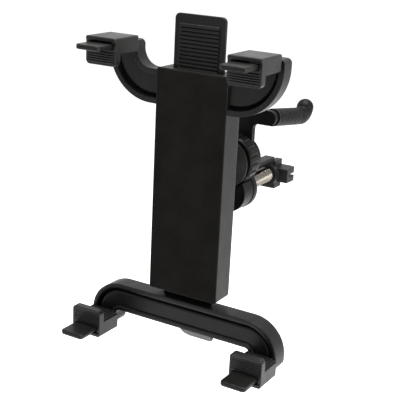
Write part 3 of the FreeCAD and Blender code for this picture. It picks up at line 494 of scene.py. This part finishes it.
def ratchetTongue(s):
    low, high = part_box("ratchet_tongue")
    outline = roundedStrip(low, high, s["corner"], s["cornerSteps"])
    bm = bmesh.new()
    tray = bm.faces.new([bm.verts.new((x, low.y, z)) for x, z in outline])
    for thickness in (s["rim"], s["slope"]):
        bmesh.ops.inset_region(bm, faces=[tray], thickness=thickness)
    for v in tray.verts:
        v.co.y = low.y + s["deep"]
    for v in newVerts(bmesh.ops.extrude_edge_only(bm, edges=rimOf(bm))):
        v.co.y = high.y
    bmesh.ops.contextual_create(bm, geom=rimOf(bm))
    bmesh.ops.recalc_face_normals(bm, faces=bm.faces)
    mesh = meshFrom(bm, "ratchetTongue")
    mesh.materials.append(ribFinish)
    strip = newPiece("ratchetTongue", mesh, "arm_black", "slider", "ratchet_tongue")
    bevelled(strip, "edges", s["edge"], s["edgeSteps"])
    shaded(mesh, angle=40)


def tongueRibs(s):
    low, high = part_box("ratchet_tongue")
    count = int((high.z - low.z - s["firstRib"] - s["lastRib"]) / s["ribPitch"]) + 1
    t = NodeTree("tongueRibs", {
        "Count": (whole, count), "Pitch": (number, s["ribPitch"]),
        "Rib Radius": (number, s["ribRadius"]),
        "Rib Length": (number, high.x - low.x - 2 * (s["rim"] + s["ribInset"])),
        "Top Rib": (number, high.z - s["firstRib"]), "Floor": (number, low.y + s["deep"]),
        "Stand": (number, s["deep"] - s["ribRadius"]), "Lean": (number, s["lean"]),
        "Material": (paint, ribFinish)})
    g = t.given
    lean = t.xyz(0.0, 0.0, t.math("MULTIPLY", t.position()[1], g["Lean"]))
    rib = t.node("GeometryNodeSetPosition", {
        "Geometry": t.bar(g["Rib Length"], g["Rib Radius"]), "Offset": lean})
    top = t.xyz(0.0, t.math("SUBTRACT", g["Floor"], g["Stand"]), g["Top Rib"])
    down = t.math("MULTIPLY", g["Pitch"], -1.0)
    ribs = t.ladder(rib.outputs[0], g["Count"], top, down)
    newPiece("tongueRibs", shaded(t.meshOf(ribs)), "arm_black", "slider")


ratchetTongue(tongueSettings)
tongueRibs(tongueSettings)
print("ratchet tongue made")

# raised panels in the arms' channels, in mm: a groove runs round each and its edge slopes up
panelSettings = dict(
    upper=dict(centre=28.0, rOut=30.3, rIn=10.8, inLift=1.2, tip=5.7, rim=3.2, wall=24.0,
               web=5.8, high=2.6),
    lower=dict(centre=45.7, rOut=21.3, rIn=3.5, leg=7.8, rim=2.8, web=4.0, high=2.9),
    groove=0.4, slope=2.4, bury=0.3, sunk=0.2, steps=16)


def arc(cx, cz, radius, fromDeg, toDeg, steps):
    turns = (math.radians(fromDeg + (toDeg - fromDeg) * i / steps) for i in range(steps + 1))
    return [(cx + radius * math.cos(a), cz + radius * math.sin(a)) for a in turns]


def upperOutline(p, side, top, outer, inner, steps):
    c, z = p["centre"], top - p["tip"]
    inZ = z + p["inLift"]
    rOut, rIn = p["rOut"] - p["rim"] - outer, p["rIn"] + p["rim"] + inner
    tipHigh = z + p["tip"] - p["rim"] - inner
    points = [(p["wall"], z - rOut)] + arc(c, z, rOut, 270, 360, steps)
    points += [(c + rOut, tipHigh), (c + rIn, tipHigh)]
    points += arc(c, inZ, rIn, 360, 270, steps) + [(p["wall"], inZ - rIn)]
    return [(side * px, pz) for px, pz in points]


def lowerOutline(p, top, outer, inner, steps):
    c, z = p["centre"], top - p["rOut"]
    rOut, rIn = p["rOut"] - p["rim"] - outer, p["rIn"] + p["rim"] + inner
    foot = z - p["leg"] + p["rim"] + inner
    points = [(-c - rOut, foot)]
    points += arc(-c, z, rOut, 180, 90, steps) + arc(c, z, rOut, 90, 0, steps)
    points += [(c + rOut, foot), (c + rIn, foot)]
    points += arc(c, z, rIn, 0, 90, steps) + arc(-c, z, rIn, 90, 180, steps)
    return points + [(-c - rIn, foot)]


def webPanel(name, base, crest, baseY, crestY, slotName, body):
    bm = bmesh.new()
    rings = [[bm.verts.new((x * mm, y, z * mm)) for x, z in outline]
             for outline, y in ((base, baseY), (crest, crestY))]
    for i in range(len(base)):
        j = (i + 1) % len(base)
        bm.faces.new((rings[0][i], rings[0][j], rings[1][j], rings[1][i]))
    for ring in rings:
        bm.faces.new(ring)
    bmesh.ops.triangulate(bm, faces=[f for f in bm.faces if len(f.verts) > 4])
    bmesh.ops.recalc_face_normals(bm, faces=bm.faces)
    newPiece(name, shaded(meshFrom(bm, name), angle=25), slotName, body)


def webPanels(s):
    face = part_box("foam_pad")[0].y  # the plane of the pad's front
    upper, lower, steps = s["upper"], s["lower"], s["steps"]
    foot, crest, inner = s["groove"], s["groove"] + s["slope"], -s["bury"]
    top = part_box("rear_case")[1].z / mm
    for side, name in ((-1, "armPanelLeft"), (1, "armPanelRight")):
        webPanel(name, upperOutline(upper, side, top, foot, inner, steps),
                 upperOutline(upper, side, top, crest, inner, steps),
                 face + (upper["web"] + s["sunk"]) * mm,
                 face + (upper["web"] - upper["high"]) * mm, "case_black", "holder")
    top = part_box("lower_arm")[1].z / mm
    webPanel("lowerPanel", lowerOutline(lower, top, foot, inner, steps),
             lowerOutline(lower, top, crest, inner, steps),
             face + (lower["web"] + s["sunk"]) * mm,
             face + (lower["web"] - lower["high"]) * mm, "arm_black", "slider")


webPanels(panelSettings)
print("arm panels made")

# claw lips: round-topped grip bars between the moulded grooves
gripSettings = dict(pitch=1.35 * mm, lipFrom=8.1 * mm, firstGap=0.975 * mm, lastGap=1.6 * mm,
                    lipBack=0.8 * mm, radius=0.62 * mm, inset=1.3 * mm, proud=0.35 * mm)


def clawGrips(corner, s):
    low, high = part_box("claw_" + corner)
    start = s["lipFrom"] + s["firstGap"]
    count = int((high.z - low.z - start - s["lastGap"]) / s["pitch"]) + 1
    outer, way = (high.z, -1.0) if corner.startswith("upper") else (low.z, 1.0)
    t = NodeTree("clawGrips_" + corner, {
        "Count": (whole, count), "Pitch": (number, s["pitch"] * way),
        "Radius": (number, s["radius"]), "Length": (number, high.x - low.x - 2 * s["inset"]),
        "Middle": (number, (low.x + high.x) / 2),
        "Face": (number, low.y + s["lipBack"] + s["radius"] - s["proud"]),
        "First": (number, outer + way * start), "Material": (paint, gripFinish)})
    g = t.given
    first = t.xyz(g["Middle"], g["Face"], g["First"])
    bars = t.ladder(t.bar(g["Length"], g["Radius"]), g["Count"], first, g["Pitch"])
    mesh = shaded(t.meshOf(bars))
    newPiece("clawGrips_" + corner, mesh, "claw_black", "claw_" + corner)


for corner in ("upper_left", "upper_right", "lower_left", "lower_right"):
    clawGrips(corner, gripSettings)
print("claw grips made")

# floor, light and camera
stageSettings = dict(floorDrop=0.16, floorWide=6.0, floorTone=0.9, floorGlow=0.8, skyLight=0.26)
pureWhite = (1.0, 1.0, 1.0, 1.0)


def whiteRays(tree):  # 1 for rays that should meet plain white: seen, mirrored or passed on
    seen = tree.nodes.new("ShaderNodeLightPath")
    share = seen.outputs["Is Camera Ray"]
    for ray in ("Is Glossy Ray", "Is Transmission Ray"):
        either = tree.nodes.new("ShaderNodeMath")
        either.operation = "MAXIMUM"
        tree.links.new(share, either.inputs[0])
        tree.links.new(seen.outputs[ray], either.inputs[1])
        share = either.outputs[0]
    return share


def mixedByRay(tree, other, white, output):
    mix = tree.nodes.new("ShaderNodeMixShader")
    tree.links.new(whiteRays(tree), mix.inputs[0])
    tree.links.new(other, mix.inputs[1])
    tree.links.new(white, mix.inputs[2])
    tree.links.new(mix.outputs[0], tree.nodes[output].inputs["Surface"])


def studio(s):
    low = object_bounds()[0]
    mesh = bpy.data.meshes.new("floor")
    w, z = s["floorWide"], low[2] - s["floorDrop"]
    mesh.from_pydata([(-w, -w, z), (w, -w, z), (w, w, z), (-w, w, z)], [], [(0, 1, 2, 3)])
    floor = bpy.data.objects.new("floor", mesh)
    scene.collection.objects.link(floor)
    mat = bpy.data.materials.new("floorWhite")
    mat.use_nodes = True
    tree = mat.node_tree
    paper = tree.nodes["Principled BSDF"]
    paper.inputs["Base Color"].default_value = (*[s["floorTone"]] * 3, 1.0)
    paper.inputs["Roughness"].default_value = 1.0
    paper.inputs["Specular IOR Level"].default_value = 0.0
    glow = tree.nodes.new("ShaderNodeEmission")
    glow.inputs["Strength"].default_value = s["floorGlow"]
    both = tree.nodes.new("ShaderNodeAddShader")
    tree.links.new(paper.outputs[0], both.inputs[0])
    tree.links.new(glow.outputs[0], both.inputs[1])
    mixedByRay(tree, paper.outputs[0], both.outputs[0], "Material Output")
    mesh.materials.append(mat)
    floor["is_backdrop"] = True

    world = bpy.data.worlds.new("studioWhite")
    world.use_nodes = True
    scene.world = world
    tree = world.node_tree
    sky = tree.nodes["Background"]
    white = tree.nodes.new("ShaderNodeBackground")
    for shade, strength in ((sky, s["skyLight"]), (white, 1.0)):
        shade.inputs["Color"].default_value = pureWhite
        shade.inputs["Strength"].default_value = strength
    mixedByRay(tree, sky.outputs[0], white.outputs[0], "World Output")


lampSettings = [
    dict(name="overhead", at=(0.05, -0.16, 0.8), aim=(0.0, -0.1, -0.03), wide=0.7, watts=17.0),
    dict(name="rightFill", at=(0.95, -0.2, -0.15), aim=(0.0, -0.1, -0.06), wide=0.6, watts=10.0),
]


def lamps(rows):
    for row in rows:
        light = bpy.data.lights.new(row["name"], "AREA")
        light.size = row["wide"]
        light.energy = row["watts"]
        obj = bpy.data.objects.new(row["name"], light)
        obj.location = row["at"]
        way = Vector(row["aim"]) - Vector(row["at"])
        obj.rotation_euler = way.to_track_quat("-Z", "Y").to_euler()
        scene.collection.objects.link(obj)


# the photo's view: angles in degrees, lens and sensor in camera mm
cameraSettings = dict(azimuth=29.97, elevation=17.18, roll=2.91, lens=86.06, sensor=36.0,
                      distance=571.7 * mm, target=(7.48 * mm, -98.68 * mm, -42.96 * mm))


def camera(s):
    a, e, r = (math.radians(s[k]) for k in ("azimuth", "elevation", "roll"))
    back = Vector((math.sin(a) * math.cos(e), -math.cos(a) * math.cos(e), math.sin(e)))
    right = Vector((math.cos(a), math.sin(a), 0.0))
    up = back.cross(right)
    turnedRight = right * math.cos(r) + up * math.sin(r)
    turnedUp = up * math.cos(r) - right * math.sin(r)
    data = bpy.data.cameras.new("photoView")
    data.sensor_width = s["sensor"]
    data.lens = s["lens"]
    obj = bpy.data.objects.new("photoView", data)
    scene.collection.objects.link(obj)
    turned = Matrix((turnedRight, turnedUp, back)).transposed().to_4x4()
    obj.matrix_world = Matrix.Translation(Vector(s["target"]) + back * s["distance"]) @ turned
    scene.camera = obj


studio(stageSettings)
lamps(lampSettings)
camera(cameraSettings)
print("stage, lamps and camera set")
